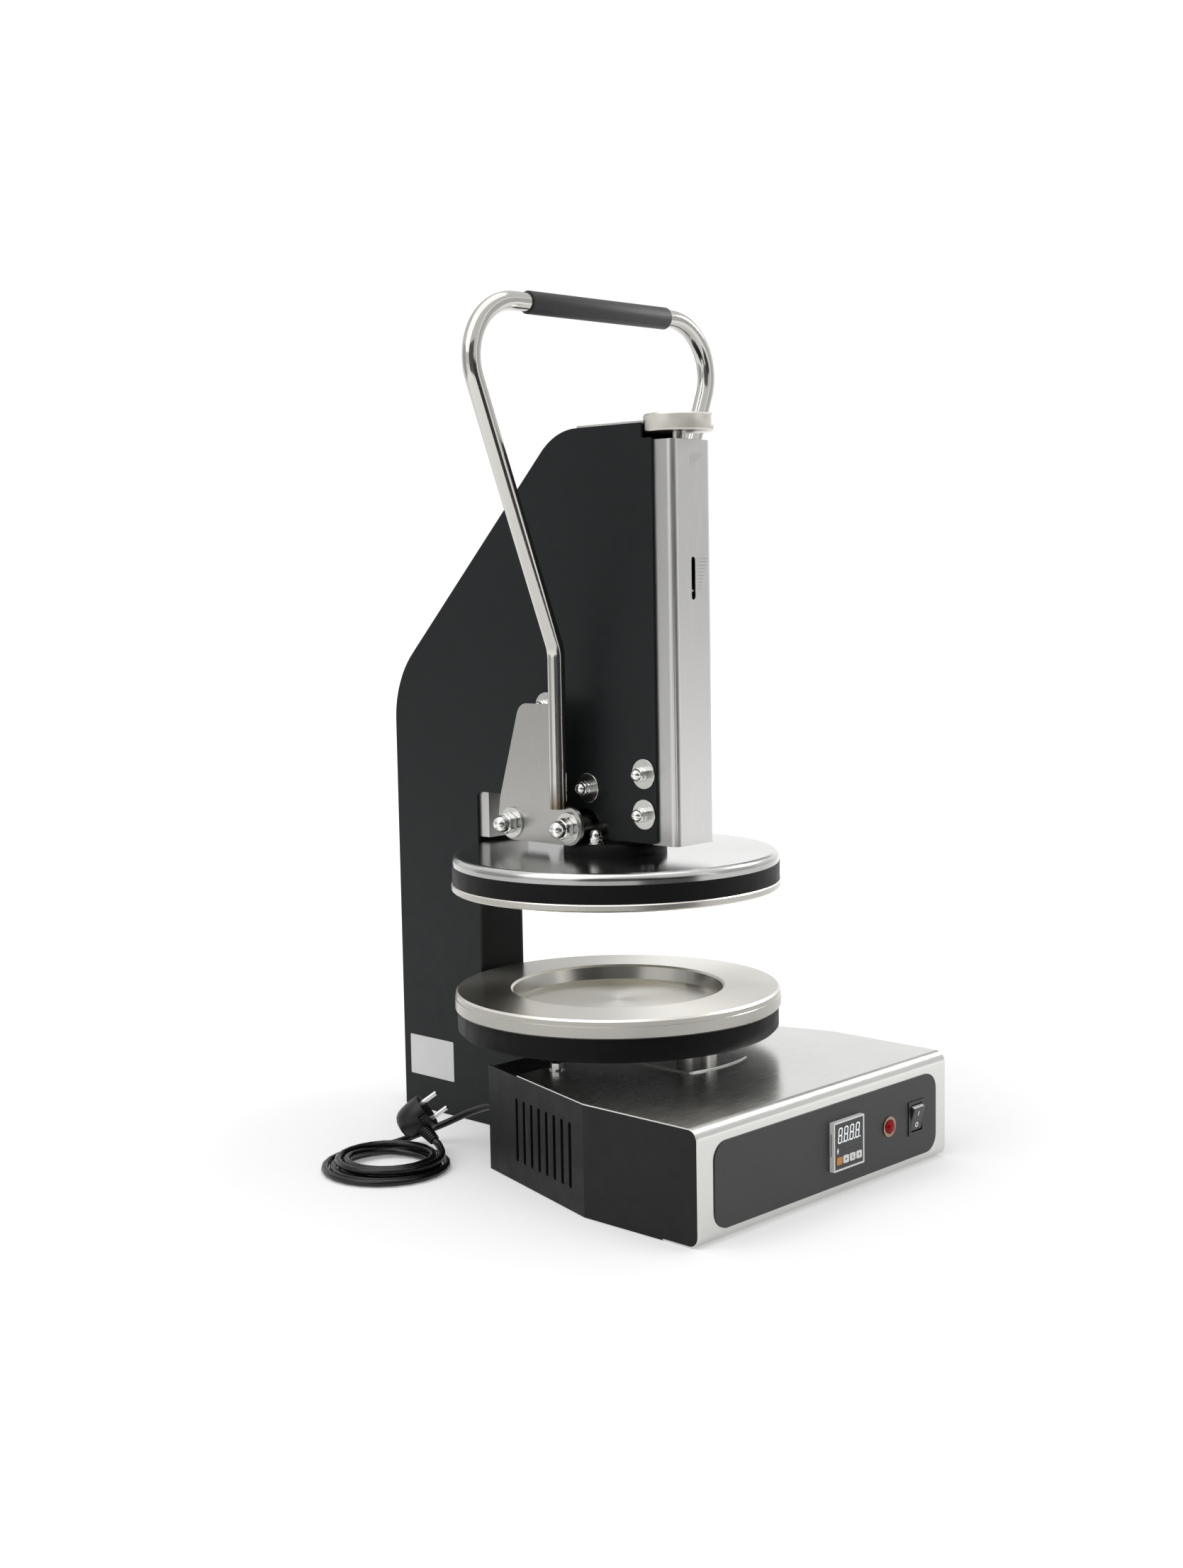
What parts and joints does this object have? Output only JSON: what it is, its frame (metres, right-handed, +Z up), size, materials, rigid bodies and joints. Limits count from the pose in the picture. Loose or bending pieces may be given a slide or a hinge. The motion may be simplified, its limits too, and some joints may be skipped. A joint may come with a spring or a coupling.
{
  "type": "pizza dough press",
  "caption": "Lever-operated heated dough press: round platens on a C-shaped column frame, bowed handle, thickness knob, stainless base with controller, lamp and rocker switch.",
  "frame": {"origin": "on the platen axis, at the standing surface", "axes": "+Z up along the platen axis, +X to the viewer's right, the control front faces -Y"},
  "size_m": [0.4699, 0.5875, 0.8743],
  "materials": {
    "black_paint": "satin powder coat",
    "stainless": "fine brushed",
    "polished_steel": "polished",
    "bright_hardware": "bright",
    "platen_metal": "turned",
    "heater": "cast, heat stained",
    "machined_steel": "machined",
    "knob_metal": "diamond knurled",
    "brass": "machined",
    "grip_rubber": "matte",
    "overlay": "fine matte film",
    "controller_grey": "moulded",
    "controller_dark": "tinted window",
    "lamp_metal": "polished",
    "lamp_red": "faceted",
    "black_plastic": "moulded",
    "key_orange": "silicone",
    "key_white": "silicone",
    "cord_black": "smooth jacket"
  },
  "bodies": {
    "frame": {"side_plate_left": "black_paint", "side_plate_right": "black_paint", "back_cover": "black_paint", "crown_strip": "stainless", "column_web": "black_paint", "throat_channel": "stainless", "front_cover": "stainless", "guide_block": "machined_steel", "upper_guide": "machined_steel", "guide_nuts": "bright_hardware", "pivot_bolts": "bright_hardware", "spring_cylinder": "black_paint", "adjuster_bracket": "machined_steel", "base_wrap": "stainless", "base_side_left": "black_paint", "base_side_right": "black_paint", "base_floor": "black_paint", "base_rear_panel": "black_paint", "support_plate": "stainless", "base_bolts": "bright_hardware", "pillars": "stainless", "lower_skirt": "black_paint", "lower_plate": "platen_metal", "lower_heater": "heater", "control_overlay": "overlay", "controller_case": "controller_grey", "controller_face": "controller_dark", "lamp_ring": "lamp_metal", "lamp_lens": "lamp_red", "switch_frame": "black_plastic", "cord_gland": "black_plastic", "cord_lead": "cord_black", "cord_coil": "cord_black", "plug_body": "black_plastic", "plug_pins": "bright_hardware"},
    "ram": {"press_disc": "platen_metal", "platen_band": "black_paint", "upper_heater": "heater", "platen_cover": "polished_steel", "ram_flange": "black_paint", "flange_nuts": "bright_hardware", "crosshead": "machined_steel", "ram_stem": "machined_steel", "ram_arm": "machined_steel", "spring_rod": "machined_steel"},
    "lever": {"lever_plate_left": "polished_steel", "lever_plate_right": "polished_steel", "cross_shaft": "machined_steel", "shaft_nuts": "bright_hardware", "lever_washers": "bright_hardware", "handle_tube": "polished_steel", "handle_grip": "grip_rubber"},
    "adjuster": {"adjust_knob": "knob_metal", "adjust_screw": "machined_steel"},
    "stop_nut": {"stop_nut": "brass"},
    "rocker": {"switch_rocker": "black_plastic"},
    "key_mode": {"key_mode": "key_orange"},
    "key_shift": {"key_shift": "key_white"},
    "key_down": {"key_down": "key_white"},
    "key_up": {"key_up": "key_white"}
  },
  "joints": [
    {"name": "press_slide", "type": "slide", "parent": "frame", "child": "ram", "axis": [0, 0, -1], "range_m": [0, 0.1], "stiffness_N_per_m": 600, "springref_m": -0.5},
    {"name": "lever_swing", "type": "hinge", "parent": "frame", "child": "lever", "pos_m": [0, 0.092, 0.342], "axis": [1, 0, 0], "range_deg": [0, 75]},
    {"name": "knob_turn", "type": "hinge", "parent": "frame", "child": "adjuster", "pos_m": [0, -0.094, 0.735], "axis": [0, 0, 1], "range_deg": [-2160, 0]},
    {"name": "stop_nut_slide", "type": "slide", "parent": "frame", "child": "stop_nut", "axis": [0, 0, -1], "range_m": [-0.024, 0]},
    {"name": "rocker_tip", "type": "hinge", "parent": "frame", "child": "rocker", "pos_m": [0.1388, -0.2717, 0.0518], "axis": [-1, 0, 0], "range_deg": [0, 24]},
    {"name": "key_mode_press", "type": "slide", "parent": "frame", "child": "key_mode", "axis": [0, 1, 0], "range_m": [0, 0.0008], "stiffness_N_per_m": 400, "springref_m": -0.0006},
    {"name": "key_shift_press", "type": "slide", "parent": "frame", "child": "key_shift", "axis": [0, 1, 0], "range_m": [0, 0.0008], "stiffness_N_per_m": 400, "springref_m": -0.0006},
    {"name": "key_down_press", "type": "slide", "parent": "frame", "child": "key_down", "axis": [0, 1, 0], "range_m": [0, 0.0008], "stiffness_N_per_m": 400, "springref_m": -0.0006},
    {"name": "key_up_press", "type": "slide", "parent": "frame", "child": "key_up", "axis": [0, 1, 0], "range_m": [0, 0.0008], "stiffness_N_per_m": 400, "springref_m": -0.0006}
  ],
  "couplings": [
    {"joint": "lever_swing", "follows": "press_slide", "rad_per_m": 13.09},
    {"joint": "stop_nut_slide", "follows": "knob_turn", "m_per_rad": 0.00063661}
  ]
}
